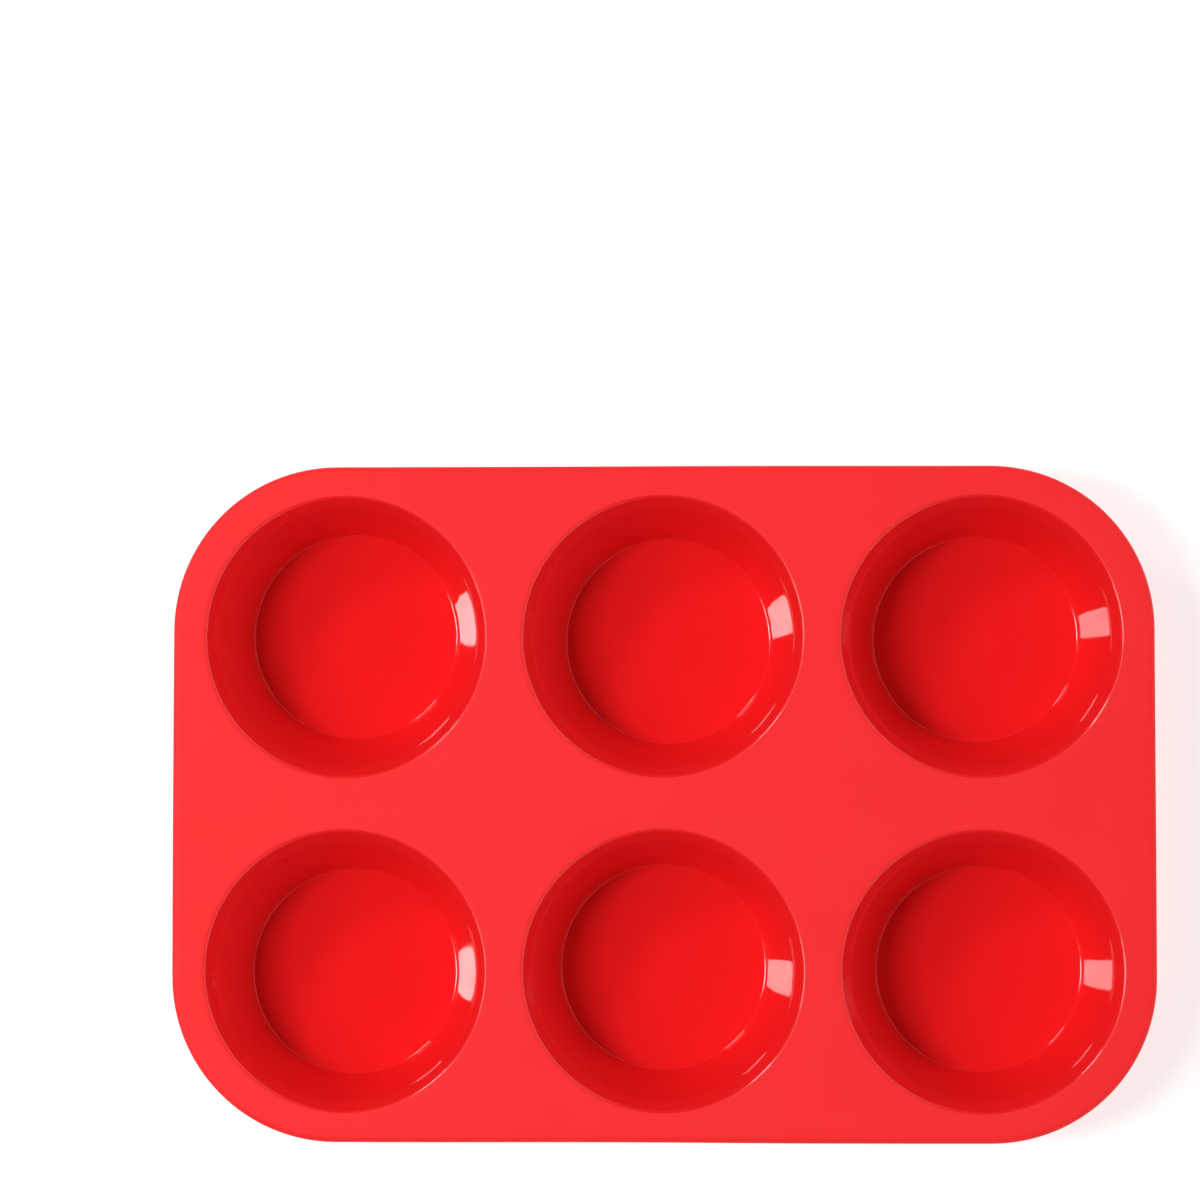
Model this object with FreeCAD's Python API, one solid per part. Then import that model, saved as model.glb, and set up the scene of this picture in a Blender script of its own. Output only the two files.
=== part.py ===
import FreeCAD, Part
import math
import os

# Six-cup silicone muffin tray, in millimetres.
# The origin is on the plane the cups stand on, under the middle of the tray. +X runs along a row of
# three cups, +Y from the front row to the back row, and +Z up, out of the cups' mouths.
# The tray is one moulding. It is divided where its regions meet: the flat deck, the bead round its edge,
# and the six cups that hang from it. Neighbours share a face and nothing overlaps.

# Driving dimensions
LENGTH = 260.0            # overall, along X
WIDTH = 179.0             # overall, along Y
HEIGHT = 32.0             # from the cups' undersides to the deck's top face
CORNER_RADIUS = 43.5      # of the tray's outline
COLUMN_PITCH = 84.2       # between the cups of a row, along X
ROW_PITCH = 88.5          # between the two rows, along Y
MOUTH_RADIUS = 37.1       # where the line of a cup's inner wall meets the plane of the deck's top
FLOOR_RADIUS = 27.8       # where the same line meets the plane of the cup's floor
DECK_THICKNESS = 1.8
WALL_THICKNESS = 1.4
FLOOR_THICKNESS = 1.6
LIP_ROUND = 1.5           # from the deck's top into the cup
FLARE_RADIUS = 34.6       # where the line of the wall turns outwards, under the lip
FLARE_HEIGHT = 27.8       # of that turn, above the plane the cups stand on
FLARE_ROUND = 12.0        # of that turn, on the inside
WEB_ROUND = 1.5           # from the deck's underside into the outside of the wall
FLOOR_ROUND = 0.7         # from the wall into the cup's floor
COLLAR_MARGIN = 0.5       # of flat deck that belongs to the cup, past its lip
BEAD_WIDTH = 4.5          # in from the outline
BEAD_HEIGHT = 5.0         # down from the deck's top
BEAD_TOP_ROUND = 1.7
BEAD_LOWER_ROUND = 1.3
BEAD_INNER_ROUND = 1.0

# Where the cups are, in pitches from the middle of the tray
COLUMNS = {"left": -1, "middle": 0, "right": 1}
ROWS = {"back": 0.5, "front": -0.5}

# Derived dimensions
COLLAR_RADIUS = MOUTH_RADIUS + LIP_ROUND + COLLAR_MARGIN
DECK_UNDERSIDE = HEIGHT - DECK_THICKNESS
BEAD_UNDERSIDE = HEIGHT - BEAD_HEIGHT
TINY = 0.01

ORIGIN = FreeCAD.Vector(0, 0, 0)
UP = FreeCAD.Vector(0, 0, 1)


def point(radius, height):
    """A point of a cup's section, in the XZ plane."""
    return FreeCAD.Vector(radius, 0, height)


def rounded_outline(corners):
    """The edges of a closed outline. Each corner is (point, radius of its rounding), and 0 is sharp.
    The first corner has to be a sharp one."""
    edges = []
    first = corners[0][0]
    start = first
    afters = corners[2:] + corners[:1]
    for (before, _), (corner, radius), (after, _) in zip(corners, corners[1:], afters):
        if radius == 0:
            edges.append(Part.LineSegment(start, corner).toShape())
            start = corner
            continue
        back = (before - corner).normalize()
        onward = (after - corner).normalize()
        half_angle = back.getAngle(onward) / 2
        tangent_length = radius / math.tan(half_angle)
        arc_depth = radius / math.sin(half_angle) - radius
        arc_start = corner + back * tangent_length
        arc_end = corner + onward * tangent_length
        arc_middle = corner + (back + onward).normalize() * arc_depth
        edges.append(Part.LineSegment(start, arc_start).toShape())
        edges.append(Part.Arc(arc_start, arc_middle, arc_end).toShape())
        start = arc_end
    edges.append(Part.LineSegment(start, first).toShape())
    return edges


def cup_section():
    """Half of a cup's section: floor, drafted wall that flares under a rounded lip, and a flat collar in
    the deck. The outside keeps the wall's thickness all the way."""
    draft = math.atan((FLARE_RADIUS - FLOOR_RADIUS) / (FLARE_HEIGHT - FLOOR_THICKNESS))
    flare = math.atan((MOUTH_RADIUS - FLARE_RADIUS) / (HEIGHT - FLARE_HEIGHT))
    bend = (draft + flare) / 2
    bend_depth = WALL_THICKNESS / math.cos((flare - draft) / 2)
    foot_radius = FLOOR_RADIUS - FLOOR_THICKNESS * math.tan(draft) + WALL_THICKNESS / math.cos(draft)
    web_radius = MOUTH_RADIUS - DECK_THICKNESS * math.tan(flare) + WALL_THICKNESS / math.cos(flare)
    bend_point = point(
        FLARE_RADIUS + bend_depth * math.cos(bend),
        FLARE_HEIGHT - bend_depth * math.sin(bend),
    )
    corners = [
        (point(0, FLOOR_THICKNESS), 0),
        (point(FLOOR_RADIUS, FLOOR_THICKNESS), FLOOR_ROUND),
        (point(FLARE_RADIUS, FLARE_HEIGHT), FLARE_ROUND),
        (point(MOUTH_RADIUS, HEIGHT), LIP_ROUND),
        (point(COLLAR_RADIUS, HEIGHT), 0),
        (point(COLLAR_RADIUS, DECK_UNDERSIDE), 0),
        (point(web_radius, DECK_UNDERSIDE), WEB_ROUND),
        (bend_point, FLARE_ROUND - WALL_THICKNESS),
        (point(foot_radius, 0), FLOOR_ROUND + WALL_THICKNESS),
        (point(0, 0), 0),
    ]
    return Part.Face(Part.Wire(rounded_outline(corners)))


def cup(x, y):
    """A round cup with its axis at x, y: its half section turned a full turn."""
    solid = cup_section().revolve(ORIGIN, UP, 360)
    solid.translate(FreeCAD.Vector(x, y, 0))
    return solid


def outline_plate(inset, low, high):
    """The tray's outline, moved in by inset, as a plate between two heights."""
    half_x = LENGTH / 2 - inset
    half_y = WIDTH / 2 - inset
    corner = FreeCAD.Vector(-half_x, -half_y, low)
    plate = Part.makeBox(2 * half_x, 2 * half_y, high - low, corner)
    uprights = [edge for edge in plate.Edges if edge.BoundBox.ZLength > TINY]
    return plate.makeFillet(CORNER_RADIUS - inset, uprights)


def deck(cup_centres):
    """The flat web inside the bead, with a round hole for each cup's collar."""
    web = outline_plate(BEAD_WIDTH, DECK_UNDERSIDE, HEIGHT)
    for x, y in cup_centres:
        foot = FreeCAD.Vector(x, y, DECK_UNDERSIDE - DECK_THICKNESS)
        web = web.cut(Part.makeCylinder(COLLAR_RADIUS, 3 * DECK_THICKNESS, foot, UP))
    return web.Solids[0]


def level_edges(shape, height):
    """The edges of a shape that lie flat at one height."""
    return [
        edge for edge in shape.Edges
        if abs(edge.BoundBox.ZMin - height) < TINY and abs(edge.BoundBox.ZMax - height) < TINY
    ]


def rim_bead():
    """The thick edge: a closed ring that hangs below the deck, most rounded on its outer top edge."""
    bar = outline_plate(0, BEAD_UNDERSIDE, HEIGHT)
    bar = bar.makeFillet(BEAD_TOP_ROUND, level_edges(bar, HEIGHT))
    bar = bar.makeFillet(BEAD_LOWER_ROUND, level_edges(bar, BEAD_UNDERSIDE))
    ring = bar.cut(outline_plate(BEAD_WIDTH, BEAD_UNDERSIDE - 1, HEIGHT + 1))
    reach = LENGTH / 2 - BEAD_WIDTH + TINY
    depth = WIDTH / 2 - BEAD_WIDTH + TINY
    inner_edges = [
        edge for edge in level_edges(ring, BEAD_UNDERSIDE)
        if edge.BoundBox.XMax < reach and edge.BoundBox.XMin > -reach
        and edge.BoundBox.YMax < depth and edge.BoundBox.YMin > -depth
    ]
    return ring.makeFillet(BEAD_INNER_ROUND, inner_edges).Solids[0]


os.makedirs("parts", exist_ok=True)
centres = {
    f"cup_{row}_{column}": (steps_x * COLUMN_PITCH, steps_y * ROW_PITCH)
    for row, steps_y in ROWS.items()
    for column, steps_x in COLUMNS.items()
}
solids = {name: cup(x, y) for name, (x, y) in centres.items()}
solids["deck"] = deck(centres.values())
solids["rim_bead"] = rim_bead()
for name, solid in solids.items():
    print(name, solid.ShapeType, solid.isValid(), round(solid.Volume / 1000, 2), "cm3")
    solid.exportStep(f"parts/{name}.step")
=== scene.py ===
import math

import bpy
from mathutils import Matrix, Vector


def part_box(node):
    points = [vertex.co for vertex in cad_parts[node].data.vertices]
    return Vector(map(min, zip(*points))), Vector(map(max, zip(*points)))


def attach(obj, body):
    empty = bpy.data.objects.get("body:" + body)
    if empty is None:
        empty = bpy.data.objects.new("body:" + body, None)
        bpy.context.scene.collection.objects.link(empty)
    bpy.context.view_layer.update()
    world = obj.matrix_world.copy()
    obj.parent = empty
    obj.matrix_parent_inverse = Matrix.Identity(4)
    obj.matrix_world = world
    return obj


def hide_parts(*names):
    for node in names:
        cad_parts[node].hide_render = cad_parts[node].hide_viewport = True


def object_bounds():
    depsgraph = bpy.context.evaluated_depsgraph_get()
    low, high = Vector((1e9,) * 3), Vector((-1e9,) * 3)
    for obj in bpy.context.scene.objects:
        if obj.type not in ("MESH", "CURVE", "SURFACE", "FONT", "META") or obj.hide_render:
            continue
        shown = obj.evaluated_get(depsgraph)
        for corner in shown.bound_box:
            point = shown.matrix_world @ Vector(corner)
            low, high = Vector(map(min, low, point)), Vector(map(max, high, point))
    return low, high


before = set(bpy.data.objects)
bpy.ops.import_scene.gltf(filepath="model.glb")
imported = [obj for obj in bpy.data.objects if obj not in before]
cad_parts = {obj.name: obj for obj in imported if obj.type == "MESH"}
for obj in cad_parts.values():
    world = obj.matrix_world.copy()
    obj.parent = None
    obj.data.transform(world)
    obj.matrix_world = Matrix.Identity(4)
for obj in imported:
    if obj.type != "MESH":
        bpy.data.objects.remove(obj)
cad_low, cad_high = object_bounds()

# ---- The deck ----------------------------------------------------------------------------------------
# The flat web that the cups hang from, with six round holes where their collars join it. It is the same
# shot of rubber as the cups, 1.8 mm thick, and limp enough to take a slight wave of its own.

MM = 0.001
SATIN_RED = "#FF191D"
SHADED_GLOSS_RED = "#F21F22"            # painted shade: the cups' polished insides get a darker red, which stands in for the shade inside the cups
PIGMENT_SWING = 0.02             # of the colour's strength, where the pigment lies thicker or thinner
MOTTLE_SIZE = 30 * MM            # of the faint cloudiness in the colour
MOTTLE_FROM, MOTTLE_TO = 0.30, 0.70      # of its noise, over which the colour swings
SATIN_ROUGHNESS = 0.66
GLOSS_ROUGHNESS = 0.03
SILICONE_IOR = 1.45
SMUDGE_SIZE = 12 * MM            # of the dull patches that handling leaves
SMUDGE_ROUGHNESS = 0.02
SMUDGE_FROM, SMUDGE_TO = 0.35, 0.75      # of their noise, over which clean rubber turns dull
GRAIN_SIZE = 0.9 * MM            # the blasted grain is finer, and is drawn coarse enough to show
GRAIN_DEPTH = 0.01 * MM
POLISHED_GRAIN = 0.06            # the share of the grain that polishing leaves


def linear(hex_colour):
    """An sRGB hex colour as the linear RGBA that Blender's sockets take."""
    channels = [int(hex_colour[i:i + 2], 16) / 255 for i in (1, 3, 5)]
    return [c / 12.92 if c <= 0.04045 else ((c + 0.055) / 1.055) ** 2.4 for c in channels] + [1]


def add(tree, kind, inputs=None, **settings):
    """Adds a node to a tree. Its inputs are a dict, or a tuple in their order. Each is a plain value, the
    output socket that feeds it, or a node whose first output feeds it."""
    node = tree.nodes.new(kind)
    for name, value in settings.items():
        setattr(node, name, value)
    if isinstance(inputs, tuple):
        inputs = dict(enumerate(inputs))
    for key, value in (inputs or {}).items():
        if isinstance(value, bpy.types.Node):
            value = value.outputs[0]
        if isinstance(value, bpy.types.NodeSocket):
            tree.links.new(value, node.inputs[key])
        else:
            node.inputs[key].default_value = value
    return node


# Platinum-cured silicone rubber, pigmented right through and compression moulded in a steel tool. The tool
# is polished where it forms the cups, which gives the batter's side a wet-looking gloss, and is finely
# blasted everywhere else, which gives the deck, the edge and the underside a soft satin.
silicone = bpy.data.materials.new("moulded_silicone_rubber")
silicone.use_nodes = True
nodes = silicone.node_tree
nodes.nodes.clear()
place = add(nodes, "ShaderNodeTexCoord").outputs["Object"]
polish_and_shade = add(nodes, "ShaderNodeAttribute", attribute_name="polish_and_shade").outputs["Fac"]
# Painted shade: where the rubber is polished, inside the cups, the colour turns to a darker red that stands
# in for the shade there. The same mask also sets the gloss.
hue = add(nodes, "ShaderNodeMix", {
    "Factor": polish_and_shade, "A": linear(SATIN_RED), "B": linear(SHADED_GLOSS_RED),
}, data_type="RGBA")
mottle = add(nodes, "ShaderNodeTexNoise", {"Vector": place, "Scale": 1 / MOTTLE_SIZE, "Detail": 3})
strength = add(nodes, "ShaderNodeMapRange", {
    "Value": mottle, "From Min": MOTTLE_FROM, "From Max": MOTTLE_TO,
    "To Min": 1.0, "To Max": 1 - PIGMENT_SWING,
})
colour = add(nodes, "ShaderNodeMix", {
    "Factor": 1.0, "A": hue.outputs["Result"], "B": strength,
}, data_type="RGBA", blend_type="MULTIPLY")
finish = add(nodes, "ShaderNodeMapRange", {
    "Value": polish_and_shade, "To Min": SATIN_ROUGHNESS, "To Max": GLOSS_ROUGHNESS,
})
smudge = add(nodes, "ShaderNodeTexNoise", {"Vector": place, "Scale": 1 / SMUDGE_SIZE, "Detail": 5})
dulling = add(nodes, "ShaderNodeMapRange", {
    "Value": smudge, "From Min": SMUDGE_FROM, "From Max": SMUDGE_TO,
    "To Min": -SMUDGE_ROUGHNESS / 2, "To Max": SMUDGE_ROUGHNESS,
})
roughness = add(nodes, "ShaderNodeMath", (finish, dulling), operation="ADD")
grain = add(nodes, "ShaderNodeTexNoise", {"Vector": place, "Scale": 1 / GRAIN_SIZE, "Detail": 4})
grain_share = add(nodes, "ShaderNodeMapRange", {"Value": polish_and_shade, "To Min": 1.0, "To Max": POLISHED_GRAIN})
bump = add(nodes, "ShaderNodeBump", {"Height": grain, "Strength": grain_share, "Distance": GRAIN_DEPTH})
rubber = add(nodes, "ShaderNodeBsdfPrincipled", {
    "Base Color": colour.outputs["Result"], "Roughness": roughness, "Normal": bump, "IOR": SILICONE_IOR,
})
add(nodes, "ShaderNodeOutputMaterial", {"Surface": rubber})

deck_low, deck_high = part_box("deck")
cup_low, cup_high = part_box("cup_back_right")
TRAY_HEIGHT = cup_high.z
DECK_THICKNESS = deck_high.z - deck_low.z
COLLAR_RADIUS = (cup_high.x - cup_low.x) / 2
CORNER_RADIUS = 43.5 * MM
STEPS_ROUND = 128                # a cup's collar and the hole that it fills share their corners
DECK_RINGS = 7
WAVE_LENGTH = 95 * MM            # of the tray's own slack
WAVE_DEPTH = 0.7 * MM
WELD = 0.003 * MM                # the reach within which a mesh's points are joined
DECK_WELD = 0.01 * MM            # wider, as the cups' shares of the deck meet less exactly
SHARP = math.radians(50)


def new_tree(name, sizes):
    """A geometry tree that gives out one mesh, with its named inputs, and the sockets of those inputs."""
    tree = bpy.data.node_groups.new(name, "GeometryNodeTree")
    tree.interface.new_socket("Geometry", in_out="OUTPUT", socket_type="NodeSocketGeometry")
    for label, kind in sizes.items():
        tree.interface.new_socket(label, in_out="INPUT", socket_type=kind)
    return tree, add(tree, "NodeGroupInput").outputs


def finish_tree(tree, mesh):
    """Ends a tree: welds the mesh, lets it take the tray's slack, and gives it shading and material."""
    welded = add(tree, "GeometryNodeMergeByDistance", {"Geometry": mesh, "Distance": WELD})
    place = add(tree, "GeometryNodeInputPosition")
    wave = add(tree, "ShaderNodeTexNoise", {"Vector": place, "Scale": 1 / WAVE_LENGTH, "Detail": 0})
    sway = add(tree, "ShaderNodeVectorMath", (wave.outputs["Color"], (0.5, 0.5, 0.5)), operation="SUBTRACT")
    height = add(tree, "ShaderNodeSeparateXYZ", (place,)).outputs["Z"]
    share = add(tree, "ShaderNodeMath", (height, TRAY_HEIGHT), operation="DIVIDE")
    depth = add(tree, "ShaderNodeMath", (share, WAVE_DEPTH), operation="MULTIPLY")
    slack = add(tree, "ShaderNodeVectorMath", {0: sway, "Scale": depth}, operation="SCALE")
    eased = add(tree, "GeometryNodeSetPosition", {"Geometry": welded, "Offset": slack})
    smooth = add(tree, "GeometryNodeSetShadeSmooth", {"Geometry": eased})
    angle = add(tree, "GeometryNodeInputMeshEdgeAngle").outputs["Unsigned Angle"]
    corner = add(tree, "FunctionNodeCompare", {"A": angle, "B": SHARP})
    creased = add(tree, "GeometryNodeSetShadeSmooth", {
        "Geometry": smooth, "Selection": corner, "Shade Smooth": False,
    }, domain="EDGE")
    real = add(tree, "GeometryNodeRealizeInstances", {"Geometry": creased})
    painted = add(tree, "GeometryNodeSetMaterial", {"Geometry": real, "Material": silicone})
    add(tree, "NodeGroupOutput", (painted,))


def mould(name, tree, sizes, cad_node):
    """Runs a tree, and keeps what it makes as a plain mesh that stands for a CAD node."""
    blank = bpy.data.objects.new(name, bpy.data.meshes.new(name))
    bpy.context.scene.collection.objects.link(blank)
    modifier = blank.modifiers.new(tree.name, "NODES")
    modifier.node_group = tree
    for item in tree.interface.items_tree:
        if item.in_out == "INPUT":
            modifier[item.identifier] = sizes[item.name]
    made = blank.evaluated_get(bpy.context.evaluated_depsgraph_get())
    mesh = bpy.data.meshes.new_from_object(made)
    for working in ("way", "axis", "corner"):
        if working in mesh.attributes:
            mesh.attributes.remove(mesh.attributes[working])
    while mesh.materials[0] is None:
        mesh.materials.pop(index=0)
    blank.modifiers.clear()
    blank.data = mesh
    mesh.name = name
    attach(blank, "root")
    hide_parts(cad_node)


NUMBER, VECTOR = "NodeSocketFloat", "NodeSocketVector"
tree, sizes = new_tree("deck_web", {
    "Half Size": VECTOR, "Corner Radius": NUMBER, "Cup Pitch": VECTOR, "Hole Radius": NUMBER,
    "Underside": NUMBER, "Thickness": NUMBER,
})
# Each cup has its own ring of faces, from the edge of its hole out to the edge of its share of the deck.
pitch = add(tree, "ShaderNodeSeparateXYZ", (sizes["Cup Pitch"],))
row_length = add(tree, "ShaderNodeMath", (pitch, 2), operation="MULTIPLY")
axes = add(tree, "GeometryNodeMeshGrid", {
    "Size X": row_length, "Size Y": pitch.outputs["Y"], "Vertices X": 3, "Vertices Y": 2,
})
ring = add(tree, "GeometryNodeMeshGrid", {
    "Size X": 1, "Size Y": 1, "Vertices X": DECK_RINGS + 1, "Vertices Y": STEPS_ROUND + 1,
})
place = add(tree, "GeometryNodeInputPosition")
from_corner = add(tree, "ShaderNodeVectorMath", (place, (0.5, 0.5, 0)), operation="ADD")
laid = add(tree, "GeometryNodeStoreNamedAttribute", {
    "Geometry": ring, "Name": "way", "Value": from_corner,
}, data_type="FLOAT_VECTOR", domain="POINT")
rings = add(tree, "GeometryNodeInstanceOnPoints", {"Points": axes, "Instance": laid})
marked = add(tree, "GeometryNodeStoreNamedAttribute", {
    "Geometry": rings, "Name": "axis", "Value": place,
}, data_type="FLOAT_VECTOR", domain="INSTANCE")
loose = add(tree, "GeometryNodeRealizeInstances", {"Geometry": marked})

axis = add(tree, "GeometryNodeInputNamedAttribute", {"Name": "axis"}, data_type="FLOAT_VECTOR")
way = add(tree, "GeometryNodeInputNamedAttribute", {"Name": "way"}, data_type="FLOAT_VECTOR")
way = add(tree, "ShaderNodeSeparateXYZ", (way,))
turn = add(tree, "ShaderNodeMath", (way.outputs["Y"], math.tau), operation="MULTIPLY")
cosine = add(tree, "ShaderNodeMath", (turn,), operation="COSINE")
sine = add(tree, "ShaderNodeMath", (turn,), operation="SINE")
heading = add(tree, "ShaderNodeCombineXYZ", {"X": cosine, "Y": sine})
# A cup's share of the deck is a rectangle, half a pitch each way, or less where the deck ends.
toward = add(tree, "ShaderNodeVectorMath", (heading,), operation="SIGN")
side = add(tree, "ShaderNodeVectorMath", (toward, axis), operation="MULTIPLY")
room = add(tree, "ShaderNodeVectorMath", (sizes["Half Size"], side), operation="SUBTRACT")
half_pitch = add(tree, "ShaderNodeVectorMath", (sizes["Cup Pitch"], (0.5, 0.5, 0)), operation="MULTIPLY")
share = add(tree, "ShaderNodeVectorMath", (room, half_pitch), operation="MINIMUM")
stretch = add(tree, "ShaderNodeVectorMath", (heading, share), operation="MULTIPLY")
wide = add(tree, "ShaderNodeMath", (cosine,), operation="ABSOLUTE")
deep = add(tree, "ShaderNodeMath", (sine,), operation="ABSOLUTE")
widest = add(tree, "ShaderNodeMath", (wide, deep), operation="MAXIMUM")
to_square = add(tree, "ShaderNodeCombineXYZ", {"X": widest, "Y": widest, "Z": 1})
reach = add(tree, "ShaderNodeVectorMath", (stretch, to_square), operation="DIVIDE")
square = add(tree, "ShaderNodeVectorMath", (axis, reach), operation="ADD")
# A point that lies outside the arc of one of the deck's corners is drawn in to the arc.
radius = sizes["Corner Radius"]
radii = add(tree, "ShaderNodeCombineXYZ", {"X": radius, "Y": radius})
core = add(tree, "ShaderNodeVectorMath", (sizes["Half Size"], radii), operation="SUBTRACT")
bare = add(tree, "ShaderNodeVectorMath", (square,), operation="ABSOLUTE")
past_core = add(tree, "ShaderNodeVectorMath", (bare, core), operation="SUBTRACT")
over = add(tree, "ShaderNodeVectorMath", (past_core, (0, 0, 0)), operation="MAXIMUM")
length = add(tree, "ShaderNodeVectorMath", (over,), operation="LENGTH").outputs["Value"]
longer = add(tree, "ShaderNodeMath", (length, radius), operation="MAXIMUM")
drawing = add(tree, "ShaderNodeMath", (radius, longer), operation="DIVIDE")
drawn = add(tree, "ShaderNodeVectorMath", {0: over, "Scale": drawing}, operation="SCALE")
inner = add(tree, "ShaderNodeVectorMath", (bare, core), operation="MINIMUM")
rounded = add(tree, "ShaderNodeVectorMath", (inner, drawn), operation="ADD")
quarter = add(tree, "ShaderNodeVectorMath", (square,), operation="SIGN")
edge = add(tree, "ShaderNodeVectorMath", (quarter, rounded), operation="MULTIPLY")
out_to_hole = add(tree, "ShaderNodeVectorMath", {
    0: heading, "Scale": sizes["Hole Radius"],
}, operation="SCALE")
hole = add(tree, "ShaderNodeVectorMath", (axis, out_to_hole), operation="ADD")
spread = add(tree, "ShaderNodeMix", {"Factor": way, 4: hole, 5: edge}, data_type="VECTOR").outputs[1]
level = add(tree, "ShaderNodeCombineXYZ", {"Z": sizes["Underside"]})
settled = add(tree, "ShaderNodeVectorMath", (spread, level), operation="ADD")
flat = add(tree, "GeometryNodeSetPosition", {"Geometry": loose, "Position": settled})
sheet = add(tree, "GeometryNodeMergeByDistance", {"Geometry": flat, "Distance": DECK_WELD})
raised = add(tree, "GeometryNodeExtrudeMesh", {
    "Mesh": sheet, "Offset": (0, 0, 1), "Offset Scale": sizes["Thickness"], "Individual": False,
})
under = add(tree, "GeometryNodeFlipFaces", {"Mesh": sheet})
web = add(tree, "GeometryNodeJoinGeometry")
tree.links.new(raised.outputs["Mesh"], web.inputs[0])
tree.links.new(under.outputs["Mesh"], web.inputs[0])
finish_tree(tree, web)

cup_middle = {
    name: (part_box(name)[0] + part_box(name)[1]) / 2
    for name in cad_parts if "cup" in name
}
mould("tray_deck", tree, {
    "Half Size": (deck_high.x, deck_high.y, 0),
    "Corner Radius": CORNER_RADIUS - (cad_high.x - deck_high.x),
    "Cup Pitch": (cup_middle["cup_back_right"].x, cup_middle["cup_back_right"].y * 2, 0),
    "Hole Radius": COLLAR_RADIUS,
    "Underside": deck_low.z,
    "Thickness": DECK_THICKNESS,
}, "deck")

# ---- The rim bead ------------------------------------------------------------------------------------
# The thick edge that stiffens the deck, and that a hand lifts the tray by. It is moulded with the deck,
# turns down from it in a tight round, and carries a fine line of trimmed flash where the tool's halves met.

bead_low, bead_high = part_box("rim_bead")
BEAD_WIDTH = bead_high.x - deck_high.x
BEAD_ROUNDS = {"Top Round": 1.7 * MM, "Lower Round": 1.3 * MM, "Inner Round": 1.0 * MM}
FLASH_HEIGHT = 0.10 * MM         # how far the line stands proud
FLASH_WIDTH = 0.35 * MM
FLASH_LEVEL = bead_low.z + 1.6 * MM
CORNER_STEPS = 32
EDGE_SPACING = 3 * MM            # between the points along the straight sides
SECTION_STEPS = 9                # points round each of a section's rounded corners
MOST_CUTS = 100                  # in one stretch of a section or an outline


def rounded_section(tree, corners, closed):
    """A section in the XZ plane, as a curve. Each corner is (distance out, height, radius of its rounding),
    and all three are numbers or sockets."""
    index = add(tree, "GeometryNodeInputIndex")
    places = add(tree, "GeometryNodeIndexSwitch", {"Index": index}, data_type="VECTOR")
    rounds = add(tree, "GeometryNodeIndexSwitch", {"Index": index}, data_type="FLOAT")
    for _ in corners[2:]:
        places.index_switch_items.new()
        rounds.index_switch_items.new()
    for number, (out, height, rounding) in enumerate(corners):
        corner = add(tree, "ShaderNodeCombineXYZ", {"X": out, "Z": height})
        tree.links.new(corner.outputs[0], places.inputs[str(number)])
        if isinstance(rounding, bpy.types.NodeSocket):
            tree.links.new(rounding, rounds.inputs[str(number)])
        else:
            rounds.inputs[str(number)].default_value = rounding
    line = add(tree, "GeometryNodeMeshLine", {"Count": len(corners)})
    numbered = add(tree, "GeometryNodeStoreNamedAttribute", {
        "Geometry": line, "Name": "corner", "Value": index,
    }, data_type="FLOAT", domain="POINT")
    placed = add(tree, "GeometryNodeSetPosition", {"Geometry": numbered, "Position": places})
    curve = add(tree, "GeometryNodeMeshToCurve", {"Mesh": placed})
    if closed:
        curve = add(tree, "GeometryNodeSetSplineCyclic", {"Geometry": curve, "Cyclic": True})
    return add(tree, "GeometryNodeFilletCurve", {
        "Curve": curve, "Count": SECTION_STEPS, "Radius": rounds,
    }, mode="POLY")


def spaced(tree, curve, spacing):
    """The same curve, with points added along its long stretches."""
    index = add(tree, "GeometryNodeInputIndex")
    following = add(tree, "ShaderNodeMath", (index, 1), operation="ADD")
    place = add(tree, "GeometryNodeInputPosition")
    beyond = add(tree, "GeometryNodeFieldAtIndex", {
        "Index": following, "Value": place,
    }, data_type="FLOAT_VECTOR")
    length = add(tree, "ShaderNodeVectorMath", (place, beyond), operation="DISTANCE").outputs["Value"]
    spaces = add(tree, "ShaderNodeMath", (length, spacing), operation="DIVIDE")
    whole = add(tree, "ShaderNodeMath", (spaces,), operation="FLOOR")
    cuts = add(tree, "ShaderNodeMath", (whole, MOST_CUTS), operation="MINIMUM")
    return add(tree, "GeometryNodeSubdivideCurve", {"Curve": curve, "Cuts": cuts})


tree, sizes = new_tree("rim_bead", {
    "Length": NUMBER, "Width": NUMBER, "Corner Radius": NUMBER, "Bead Width": NUMBER, "Top": NUMBER,
    "Underside": NUMBER, "Top Round": NUMBER, "Lower Round": NUMBER, "Inner Round": NUMBER,
    "Flash Height": NUMBER, "Flash Width": NUMBER, "Flash Level": NUMBER,
})
oblong = add(tree, "GeometryNodeCurvePrimitiveQuadrilateral", {
    "Width": sizes["Length"], "Height": sizes["Width"],
})
outline = add(tree, "GeometryNodeFilletCurve", {
    "Curve": oblong, "Count": CORNER_STEPS, "Radius": sizes["Corner Radius"],
}, mode="POLY")
outline = spaced(tree, outline, EDGE_SPACING)
flash_low = add(tree, "ShaderNodeMath", (sizes["Flash Level"], sizes["Flash Width"]), operation="SUBTRACT")
flash_high = add(tree, "ShaderNodeMath", (sizes["Flash Level"], sizes["Flash Width"]), operation="ADD")
flash_out = add(tree, "ShaderNodeMath", (sizes["Flash Height"], -1), operation="MULTIPLY")
section = rounded_section(tree, [
    (sizes["Bead Width"], sizes["Top"], 0.0),
    (0.0, sizes["Top"], sizes["Top Round"]),
    (0.0, flash_high, 0.0),
    (flash_out, sizes["Flash Level"], FLASH_HEIGHT),
    (0.0, flash_low, 0.0),
    (0.0, sizes["Underside"], sizes["Lower Round"]),
    (sizes["Bead Width"], sizes["Underside"], sizes["Inner Round"]),
], closed=True)
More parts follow.
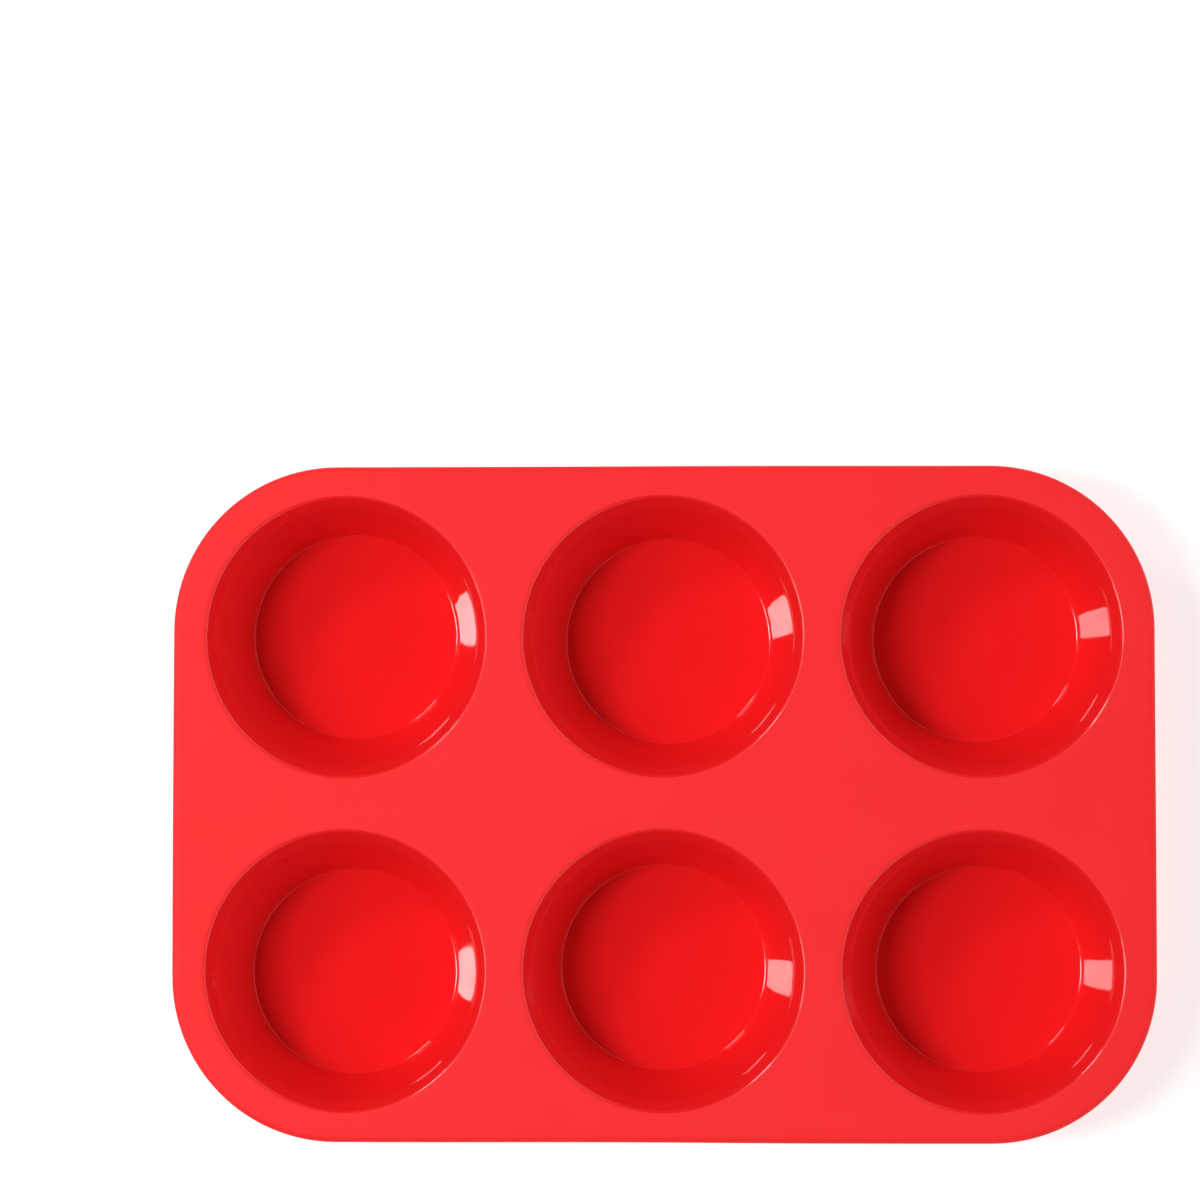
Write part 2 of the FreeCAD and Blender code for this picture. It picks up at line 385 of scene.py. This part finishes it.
# A curve to mesh takes a section's X outwards and its Y downwards, so this one is laid down turned about.
laid = add(tree, "GeometryNodeTransform", {
    "Geometry": section, "Rotation": (math.radians(-90), 0, math.radians(180)),
})
bead = add(tree, "GeometryNodeCurveToMesh", {"Curve": outline, "Profile Curve": laid})
finish_tree(tree, bead)
mould("tray_rim_bead", tree, {
    "Length": bead_high.x * 2, "Width": bead_high.y * 2, "Corner Radius": CORNER_RADIUS,
    "Bead Width": BEAD_WIDTH, "Top": bead_high.z, "Underside": bead_low.z, **BEAD_ROUNDS,
    "Flash Height": FLASH_HEIGHT, "Flash Width": FLASH_WIDTH, "Flash Level": FLASH_LEVEL,
}, "rim_bead")

# ---- The cups ----------------------------------------------------------------------------------------
# Six round cups, moulded with the deck. Their wall has a draft, so that a muffin and the next tray in a
# stack both slip out, and flares into the deck in a soft lip. Rubber this thin takes a set, so each cup's
# floor sits a little off the middle of its mouth.

MOUTH_RADIUS = 37.1 * MM
FLOOR_RADIUS = 27.8 * MM
FLOOR_THICKNESS = 1.6 * MM
WALL_THICKNESS = 1.4 * MM
LIP_ROUND = 1.5 * MM
FLARE_RADIUS = 34.6 * MM         # where the wall turns outwards, under the lip
FLARE_HEIGHT = 27.8 * MM
FLARE_ROUND = 12.0 * MM
WEB_ROUND = 1.5 * MM
FLOOR_ROUND = 0.7 * MM
CUP_SPACING = 2 * MM             # between the points along the floor and the wall
LIP_CORNER = 3                   # the lip's number among the corners of the cup's section
POLISH_REACH = 0.35              # of the lip's round, past the mouth's radius
POLISH_FADE = 0.3 * MM           # over which the gloss turns to satin, and the painted shade's darker red turns to the satin red
FLOOR_TILT = 0.4                 # as a share of the cup's lean: in a stiff cup it would be 1
CUP_LEAN = {                     # how far each floor has crept, along X and along Y
    "cup_back_left": (0.25 * MM, 1.1 * MM),
    "cup_back_middle": (0.9 * MM, -0.3 * MM),
    "cup_back_right": (-0.4 * MM, 0.2 * MM),
    "cup_front_left": (0.25 * MM, -1.0 * MM),
    "cup_front_middle": (-0.5 * MM, 0.3 * MM),
    "cup_front_right": (0.3 * MM, -0.2 * MM),
}

tree, sizes = new_tree("muffin_cup", {
    "Centre": VECTOR, "Lean": VECTOR, "Height": NUMBER, "Mouth Radius": NUMBER, "Floor Radius": NUMBER,
    "Collar Radius": NUMBER, "Foot Radius": NUMBER, "Web Radius": NUMBER, "Floor Thickness": NUMBER,
    "Deck Thickness": NUMBER, "Lip Round": NUMBER, "Web Round": NUMBER, "Floor Round": NUMBER,
    "Foot Round": NUMBER, "Polish Radius": NUMBER, "Flare Radius": NUMBER, "Flare Height": NUMBER,
    "Flare Round": NUMBER, "Bend Radius": NUMBER, "Bend Height": NUMBER, "Bend Round": NUMBER,
})
web_level = add(tree, "ShaderNodeMath", (sizes["Height"], sizes["Deck Thickness"]), operation="SUBTRACT")
section = rounded_section(tree, [
    (0.0, sizes["Floor Thickness"], 0.0),
    (sizes["Floor Radius"], sizes["Floor Thickness"], sizes["Floor Round"]),
    (sizes["Flare Radius"], sizes["Flare Height"], sizes["Flare Round"]),
    (sizes["Mouth Radius"], sizes["Height"], sizes["Lip Round"]),
    (sizes["Collar Radius"], sizes["Height"], 0.0),
    (sizes["Collar Radius"], web_level, 0.0),
    (sizes["Web Radius"], web_level, sizes["Web Round"]),
    (sizes["Bend Radius"], sizes["Bend Height"], sizes["Bend Round"]),
    (sizes["Foot Radius"], 0.0, sizes["Foot Round"]),
    (0.0, 0.0, 0.0),
], closed=False)
section = spaced(tree, section, CUP_SPACING)
# The section is turned a full turn: a grid has a row of points for each of its points.
count = add(tree, "GeometryNodeAttributeDomainSize", {"Geometry": section}, component="CURVE")
grid = add(tree, "GeometryNodeMeshGrid", {
    "Vertices X": count.outputs["Point Count"], "Vertices Y": STEPS_ROUND + 1,
})
index = add(tree, "GeometryNodeInputIndex")
row = add(tree, "ShaderNodeMath", (index, STEPS_ROUND + 1), operation="DIVIDE")
along = add(tree, "ShaderNodeMath", (row,), operation="FLOOR")
round_step = add(tree, "ShaderNodeMath", (index, STEPS_ROUND + 1), operation="MODULO")
turn = add(tree, "ShaderNodeMath", (round_step, math.tau / STEPS_ROUND), operation="MULTIPLY")
place = add(tree, "GeometryNodeInputPosition")
on_section = add(tree, "GeometryNodeSampleIndex", {
    "Geometry": section, "Value": place, "Index": along,
}, data_type="FLOAT_VECTOR")
turned = add(tree, "ShaderNodeVectorRotate", {"Vector": on_section, "Angle": turn}, rotation_type="Z_AXIS")
round_cup = add(tree, "GeometryNodeSetPosition", {"Geometry": grid, "Position": turned})
# The gloss and the painted shade's darker red are on the batter's side only, which is the section's corners
# up to the lip, and they end near the top of the lip's round.
corner = add(tree, "GeometryNodeInputNamedAttribute", {"Name": "corner"})
nearest = add(tree, "GeometryNodeSampleIndex", {"Geometry": section, "Value": corner, "Index": along})
inside = add(tree, "ShaderNodeMath", (nearest, LIP_CORNER + 0.5), operation="LESS_THAN")
level_place = add(tree, "ShaderNodeVectorMath", (place, (1, 1, 0)), operation="MULTIPLY")
radial = add(tree, "ShaderNodeVectorMath", (level_place,), operation="LENGTH").outputs["Value"]
fade_start = add(tree, "ShaderNodeMath", (sizes["Polish Radius"], POLISH_FADE), operation="SUBTRACT")
fade = add(tree, "ShaderNodeMapRange", {
    "Value": radial, "From Min": fade_start, "From Max": sizes["Polish Radius"],
    "To Min": 1.0, "To Max": 0.0,
}, interpolation_type="SMOOTHSTEP")
gloss_and_shade = add(tree, "ShaderNodeMath", (inside, fade), operation="MULTIPLY")
stored_polish_and_shade = add(tree, "GeometryNodeStoreNamedAttribute", {
    "Geometry": round_cup, "Name": "polish_and_shade", "Value": gloss_and_shade,
}, data_type="FLOAT", domain="POINT")
# The floor has crept by the whole lean, and the lip by none of it. The floor's top also tilts a little, as
# a leaning cup's does, while its underside stays on the table.
height = add(tree, "ShaderNodeSeparateXYZ", (place,)).outputs["Z"]
rise_share = add(tree, "ShaderNodeMath", (height, sizes["Height"]), operation="DIVIDE")
depth = add(tree, "ShaderNodeMath", (1.0, rise_share), operation="SUBTRACT")
lean = add(tree, "ShaderNodeVectorMath", {0: sizes["Lean"], "Scale": depth}, operation="SCALE")
off_table = add(tree, "ShaderNodeMapRange", {"Value": height, "From Max": sizes["Floor Thickness"]})
uphill = add(tree, "ShaderNodeVectorMath", (lean, place), operation="DOT_PRODUCT").outputs["Value"]
above_table = add(tree, "ShaderNodeMath", (uphill, off_table), operation="MULTIPLY")
rise = add(tree, "ShaderNodeMath", (above_table, sizes["Height"]), operation="DIVIDE")
tilted_rise = add(tree, "ShaderNodeMath", (rise, FLOOR_TILT), operation="MULTIPLY")
tilt = add(tree, "ShaderNodeCombineXYZ", {"Z": tilted_rise})
tilted = add(tree, "ShaderNodeVectorMath", (sizes["Centre"], tilt), operation="ADD")
moved = add(tree, "ShaderNodeVectorMath", (tilted, lean), operation="ADD")
leant = add(tree, "GeometryNodeSetPosition", {"Geometry": stored_polish_and_shade, "Offset": moved})
finish_tree(tree, leant)

# The outside of the wall keeps the wall's thickness from the foot to the web.
draft = math.atan((FLARE_RADIUS - FLOOR_RADIUS) / (FLARE_HEIGHT - FLOOR_THICKNESS))
flare = math.atan((MOUTH_RADIUS - FLARE_RADIUS) / (TRAY_HEIGHT - FLARE_HEIGHT))
bend = (draft + flare) / 2
bend_depth = WALL_THICKNESS / math.cos((flare - draft) / 2)
for name, middle in cup_middle.items():
    mould("tray_" + name, tree, {
        "Centre": (middle.x, middle.y, 0),
        "Lean": (*CUP_LEAN[name], 0),
        "Height": TRAY_HEIGHT,
        "Mouth Radius": MOUTH_RADIUS,
        "Floor Radius": FLOOR_RADIUS,
        "Collar Radius": COLLAR_RADIUS,
        "Foot Radius": FLOOR_RADIUS - FLOOR_THICKNESS * math.tan(draft) + WALL_THICKNESS / math.cos(draft),
        "Web Radius": MOUTH_RADIUS - DECK_THICKNESS * math.tan(flare) + WALL_THICKNESS / math.cos(flare),
        "Flare Radius": FLARE_RADIUS,
        "Flare Height": FLARE_HEIGHT,
        "Flare Round": FLARE_ROUND,
        "Bend Radius": FLARE_RADIUS + bend_depth * math.cos(bend),
        "Bend Height": FLARE_HEIGHT - bend_depth * math.sin(bend),
        "Bend Round": FLARE_ROUND - WALL_THICKNESS,
        "Floor Thickness": FLOOR_THICKNESS,
        "Deck Thickness": DECK_THICKNESS,
        "Lip Round": LIP_ROUND,
        "Web Round": WEB_ROUND,
        "Floor Round": FLOOR_ROUND,
        "Foot Round": FLOOR_ROUND + WALL_THICKNESS,
        "Polish Radius": MOUTH_RADIUS + LIP_ROUND * POLISH_REACH,
    }, name)

# ---- The table and the light -------------------------------------------------------------------------
# A sheet of opal acrylic, lit from below as a light table is, so that the tray throws hardly any shadow. A
# softbox at the left is the key light, a small one stands at the back left, and a dim panel hangs lower at
# the left.

TABLE_SIZE = 6.0                 # in metres
TABLE_COLOUR = "#B3B3B2"
TABLE_ROUGHNESS = 0.7
TABLE_GLOW = 0.70
GLOW_COLOUR = "#FFFFFF"
table = bpy.data.materials.new("opal_acrylic_light_table")
table.use_nodes = True
acrylic = table.node_tree.nodes["Principled BSDF"]
acrylic.inputs["Base Color"].default_value = linear(TABLE_COLOUR)
acrylic.inputs["Roughness"].default_value = TABLE_ROUGHNESS
acrylic.inputs["Emission Color"].default_value = linear(GLOW_COLOUR)
acrylic.inputs["Emission Strength"].default_value = TABLE_GLOW
half = TABLE_SIZE / 2
table_corners = [(-half, -half, 0), (half, -half, 0), (half, half, 0), (-half, half, 0)]
table_mesh = bpy.data.meshes.new("floor")
table_mesh.from_pydata(table_corners, [], [(0, 1, 2, 3)])
table_mesh.materials.append(table)
floor = bpy.data.objects.new("floor", table_mesh)
bpy.context.scene.collection.objects.link(floor)

LIGHTS = {                       # angles in degrees, and sizes in metres
    # name: (azimuth from +X, angle from the vertical, distance, width, height, radiance)
    "key_softbox": (182.5, 28.6, 3.00, 0.42, 0.86, 38.0),
    "far_softbox": (139.0, 46.0, 2.40, 0.42, 0.42, 22.0),
    "left_panel": (184.0, 46.0, 2.40, 0.90, 0.50, 7.5),
}
tray_top = Vector((0, 0, TRAY_HEIGHT))
for name, (azimuth, tilt, distance, width, height, radiance) in LIGHTS.items():
    lamp = bpy.data.lights.new(name, "AREA")
    lamp.shape = "RECTANGLE"
    lamp.size = width
    lamp.size_y = height
    lamp.energy = radiance * math.pi * width * height
    azimuth, tilt = math.radians(azimuth), math.radians(tilt)
    level = Vector((math.cos(azimuth), math.sin(azimuth), 0))
    away = level * math.sin(tilt) + Vector((0, 0, math.cos(tilt)))
    holder = bpy.data.objects.new(name, lamp)
    holder.location = tray_top + away * distance
    holder.rotation_mode = "QUATERNION"
    holder.rotation_quaternion = away.to_track_quat("Z", "Y")
    bpy.context.scene.collection.objects.link(holder)

# The studio's right wall is pale and fills the cups' shaded sides. Its other walls and ceiling are dark.
DARK_WALL = 0.12
PALE_WALL = 1.40
CEILING = 0.02
PALE_FROM, PALE_TO = 0.0, 0.7            # of a direction's X, over which the dark wall turns pale
CEILING_FROM, CEILING_TO = 0.55, 0.95    # of a direction's Z, over which the walls turn to ceiling
world = bpy.data.worlds.new("studio")
bpy.context.scene.world = world
world.use_nodes = True
studio = world.node_tree
studio.nodes.clear()
outward = add(studio, "ShaderNodeTexCoord").outputs["Generated"]
outward = add(studio, "ShaderNodeSeparateXYZ", (outward,))
walls = add(studio, "ShaderNodeMapRange", {
    "Value": outward.outputs["X"], "From Min": PALE_FROM, "From Max": PALE_TO,
    "To Min": DARK_WALL, "To Max": PALE_WALL,
}, interpolation_type="SMOOTHSTEP")
dimming = add(studio, "ShaderNodeMapRange", {
    "Value": outward.outputs["Z"], "From Min": CEILING_FROM, "From Max": CEILING_TO,
    "To Min": walls, "To Max": CEILING,
}, interpolation_type="SMOOTHSTEP")
glow = add(studio, "ShaderNodeBackground", {"Strength": dimming})
add(studio, "ShaderNodeOutputWorld", {"Surface": glow})

# ---- The camera --------------------------------------------------------------------------------------
# A long lens on a copy stand, looking almost straight down, from a little right of the tray's middle.

CAMERA_LENS = 143.8
CAMERA_PLACE = Vector((33.0, -3.7, 1300.0)) * MM
CAMERA_AIM = Vector((-16.5 * MM, 53.9 * MM, TRAY_HEIGHT))
camera = bpy.data.objects.new("camera", bpy.data.cameras.new("camera"))
bpy.context.scene.collection.objects.link(camera)
bpy.context.scene.camera = camera
camera.data.lens = CAMERA_LENS
camera.location = CAMERA_PLACE
backward = (CAMERA_PLACE - CAMERA_AIM).normalized()
rightward = Vector((0, 1, 0)).cross(backward).normalized()
upward = backward.cross(rightward)
camera.rotation_mode = "QUATERNION"
camera.rotation_quaternion = Matrix((rightward, upward, backward)).transposed().to_quaternion()

bpy.context.scene.view_settings.view_transform = "Standard"
